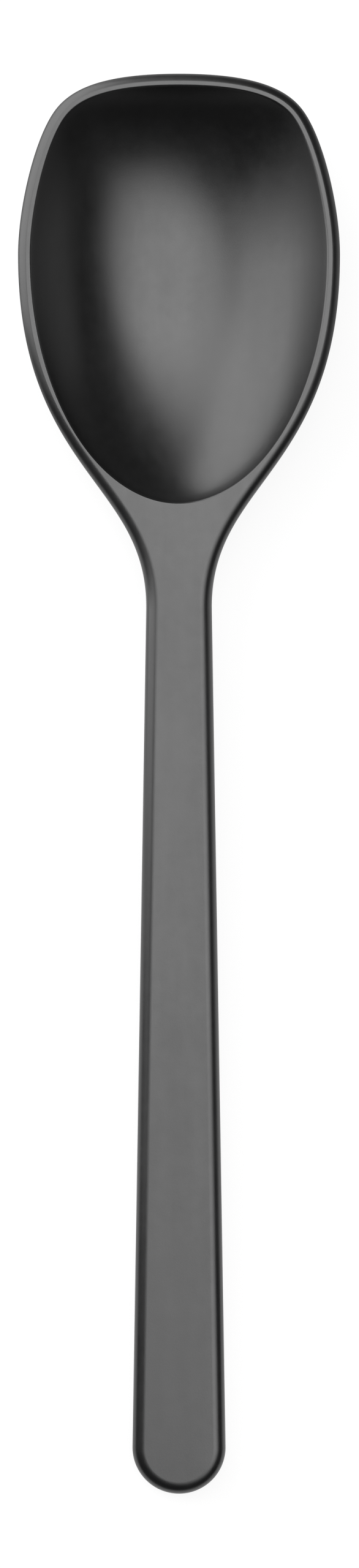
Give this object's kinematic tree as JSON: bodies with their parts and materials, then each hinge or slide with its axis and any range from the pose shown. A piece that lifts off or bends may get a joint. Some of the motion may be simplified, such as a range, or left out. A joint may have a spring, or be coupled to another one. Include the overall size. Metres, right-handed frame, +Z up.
{
  "type": "mixing spoon",
  "caption": "Slim mixing spoon with a deep oval bowl, squared tip, narrow neck and flat tapered handle, in soft charcoal silicone moulded over a stiff core.",
  "frame": {"origin": "on the table, under the middle of the spoon's box, with the spoon lying on its bowl and its handle's end", "axes": "+X across the spoon, +Y along it from the handle's end towards the bowl's tip, +Z up out of the bowl"},
  "size_m": [0.068, 0.2998, 0.019],
  "materials": {
    "silicone": "satin, fine moulded grain",
    "nylon": "matte, glass-filled"
  },
  "bodies": {
    "root": {"front_skin": "silicone", "back_skin": "silicone", "nylon_core": "nylon"}
  },
  "joints": []
}
